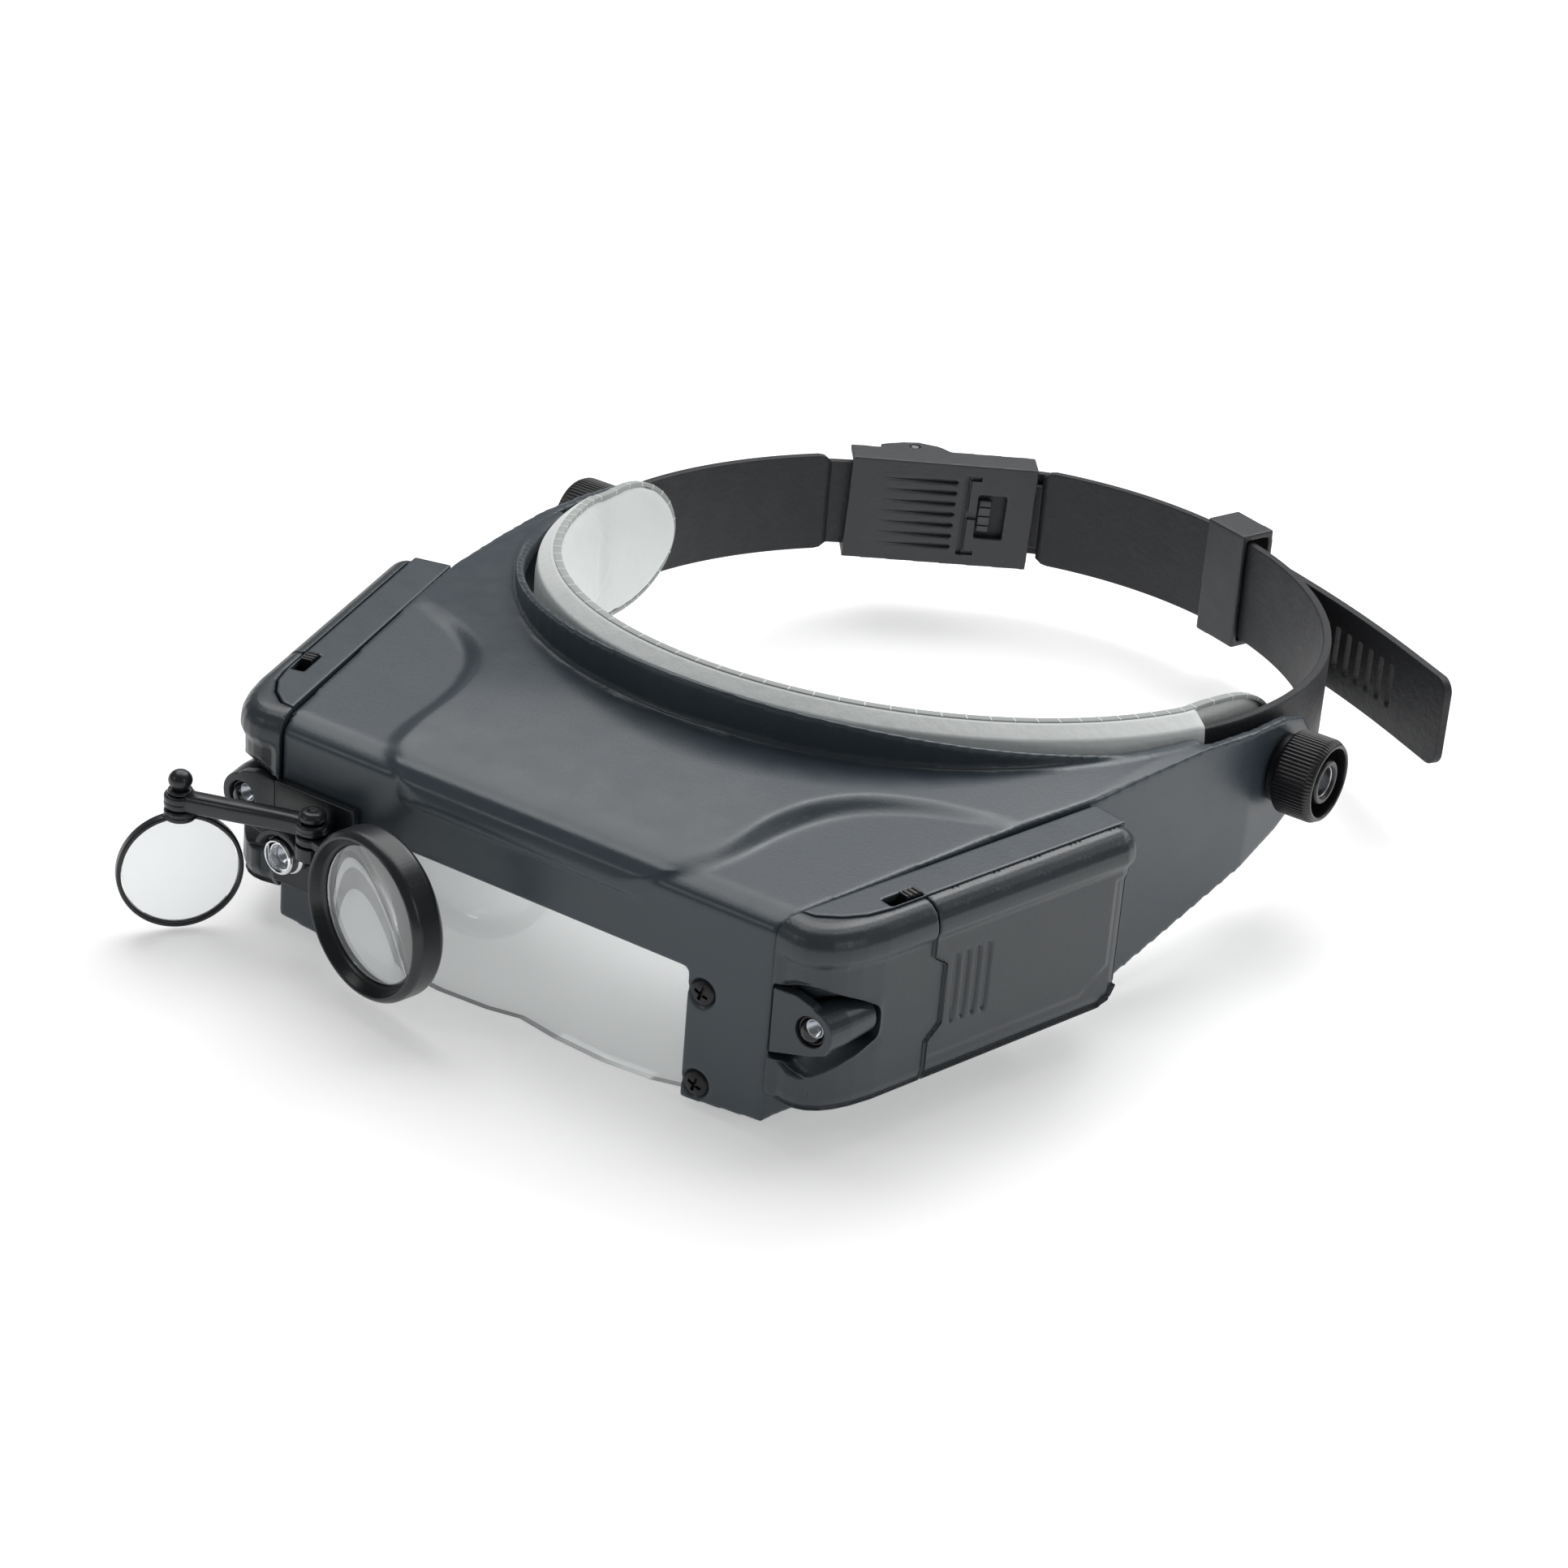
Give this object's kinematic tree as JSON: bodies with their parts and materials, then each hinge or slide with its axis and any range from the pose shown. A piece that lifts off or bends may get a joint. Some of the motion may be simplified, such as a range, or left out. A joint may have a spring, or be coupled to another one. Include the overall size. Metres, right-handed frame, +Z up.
{
  "type": "head visor magnifier",
  "caption": "Head-worn magnifier: hollow visor with a two-lobe lens, side battery pods with lamps, swing-out loupes and a padded strap on friction pivots.",
  "frame": {"origin": "bottom centre of the bounding box", "axes": "+Z up, -Y the way the wearer looks, +X towards the wearer's left hand side as the visor is seen from the front right"},
  "size_m": [0.1872, 0.2522, 0.058],
  "materials": {
    "shell": "satin charcoal",
    "strap": "matte, lightly pebbled",
    "black_plastic": "semi-gloss black",
    "clear_lens": "clear polished acrylic",
    "pad_vinyl": "pale grey soft vinyl over foam",
    "chrome": "polished",
    "steel": "plated",
    "black_screw": "black oxide",
    "led_epoxy": "clear epoxy",
    "cell_can": "printed sleeve, plain"
  },
  "bodies": {
    "headband": {"head_strap": "strap", "forehead_pad": "pad_vinyl", "buckle_base": "strap", "buckle_pin": "steel", "pivot_bolt_right": "steel", "pivot_bolt_left": "steel", "pivot_washer_right": "black_plastic", "pivot_washer_left": "black_plastic"},
    "buckle_lever_arm": {"buckle_lever": "strap"},
    "keeper_loop": {"strap_keeper": "strap"},
    "visor": {"visor_shell": "shell", "main_lens": "clear_lens", "lens_clamp_right": "shell", "lens_clamp_left": "shell", "lens_screw_upper_right": "black_screw", "lens_screw_lower_right": "black_screw", "lens_screw_upper_left": "black_screw", "lens_screw_lower_left": "black_screw", "loupe_bracket": "shell", "lamp_bezel": "chrome", "lamp_led_centre": "led_epoxy", "loupe_pin": "black_plastic", "pod_case_right": "shell", "pod_top_cover_right": "shell", "cell_upper_right": "cell_can", "cell_lower_right": "cell_can", "contact_springs_right": "steel", "contact_plate_right": "steel", "pod_case_left": "shell", "pod_top_cover_left": "shell", "cell_upper_left": "cell_can", "cell_lower_left": "cell_can", "contact_springs_left": "steel", "contact_plate_left": "steel"},
    "knob_right": {"pivot_knob_right": "black_plastic"},
    "door_right": {"battery_door_right": "shell"},
    "switch_right": {"switch_slider_right": "black_plastic"},
    "lamp_right": {"lamp_holder_right": "shell", "lamp_led_right": "led_epoxy"},
    "knob_left": {"pivot_knob_left": "black_plastic"},
    "door_left": {"battery_door_left": "shell"},
    "switch_left": {"switch_slider_left": "black_plastic"},
    "lamp_left": {"lamp_holder_left": "shell", "lamp_led_left": "led_epoxy"},
    "loupe": {"loupe_ring": "black_plastic", "loupe_lens": "clear_lens"},
    "link": {"link_arm": "black_plastic", "link_pin": "black_plastic"},
    "small_loupe": {"small_loupe_ring": "black_plastic", "small_loupe_lens": "clear_lens"}
  },
  "joints": [
    {"name": "visor_tilt", "type": "hinge", "parent": "headband", "child": "visor", "pos_m": [-0.0013, 0.0353, 0.0308], "axis": [-1, 0, 0], "range_deg": [-3, 50]},
    {"name": "knob_turn_right", "type": "hinge", "parent": "headband", "child": "knob_right", "pos_m": [0.0847, 0.0353, 0.0308], "axis": [1, 0, 0], "range_deg": [0, 540]},
    {"name": "door_slide_right", "type": "slide", "parent": "visor", "child": "door_right", "axis": [0.2491, 0.9685, 0], "range_m": [0, 0.052]},
    {"name": "switch_slide_right", "type": "slide", "parent": "visor", "child": "switch_right", "axis": [0.2491, 0.9685, 0], "range_m": [-0.0035, 0]},
    {"name": "lamp_tilt_right", "type": "hinge", "parent": "visor", "child": "lamp_right", "pos_m": [0.0637, -0.0977, 0.0262], "axis": [1, 0, 0], "range_deg": [0, 6]},
    {"name": "knob_turn_left", "type": "hinge", "parent": "headband", "child": "knob_left", "pos_m": [-0.0873, 0.0353, 0.0308], "axis": [-1, 0, 0], "range_deg": [0, 540]},
    {"name": "door_slide_left", "type": "slide", "parent": "visor", "child": "door_left", "axis": [-0.2491, 0.9685, 0], "range_m": [0, 0.052]},
    {"name": "switch_slide_left", "type": "slide", "parent": "visor", "child": "switch_left", "axis": [-0.2491, 0.9685, 0], "range_m": [-0.0035, 0]},
    {"name": "lamp_tilt_left", "type": "hinge", "parent": "visor", "child": "lamp_left", "pos_m": [-0.0663, -0.0977, 0.0262], "axis": [1, 0, 0], "range_deg": [0, 6]},
    {"name": "loupe_swing", "type": "hinge", "parent": "visor", "child": "loupe", "pos_m": [-0.0443, -0.1102, 0.0274], "axis": [0, 0, 1], "range_deg": [-60, 8]},
    {"name": "link_swing", "type": "hinge", "parent": "visor", "child": "link", "pos_m": [-0.0443, -0.1102, 0.0297], "axis": [0, 0, 1], "range_deg": [0, 15]},
    {"name": "small_loupe_swing", "type": "hinge", "parent": "link", "child": "small_loupe", "pos_m": [-0.0715, -0.116, 0.025], "axis": [0, 0, 1], "range_deg": [-60, 15]},
    {"name": "buckle_lever_hinge", "type": "hinge", "parent": "headband", "child": "buckle_lever_arm", "pos_m": [-0.05242, 0.10542, 0.02558], "axis": [0.0289, 0.0226, 0.9993], "range_deg": [0, 7]},
    {"name": "keeper_slide", "type": "slide", "parent": "headband", "child": "keeper_loop", "axis": [0.9334, -0.3583, 0.02], "range_m": [-0.001, 0.003]}
  ]
}
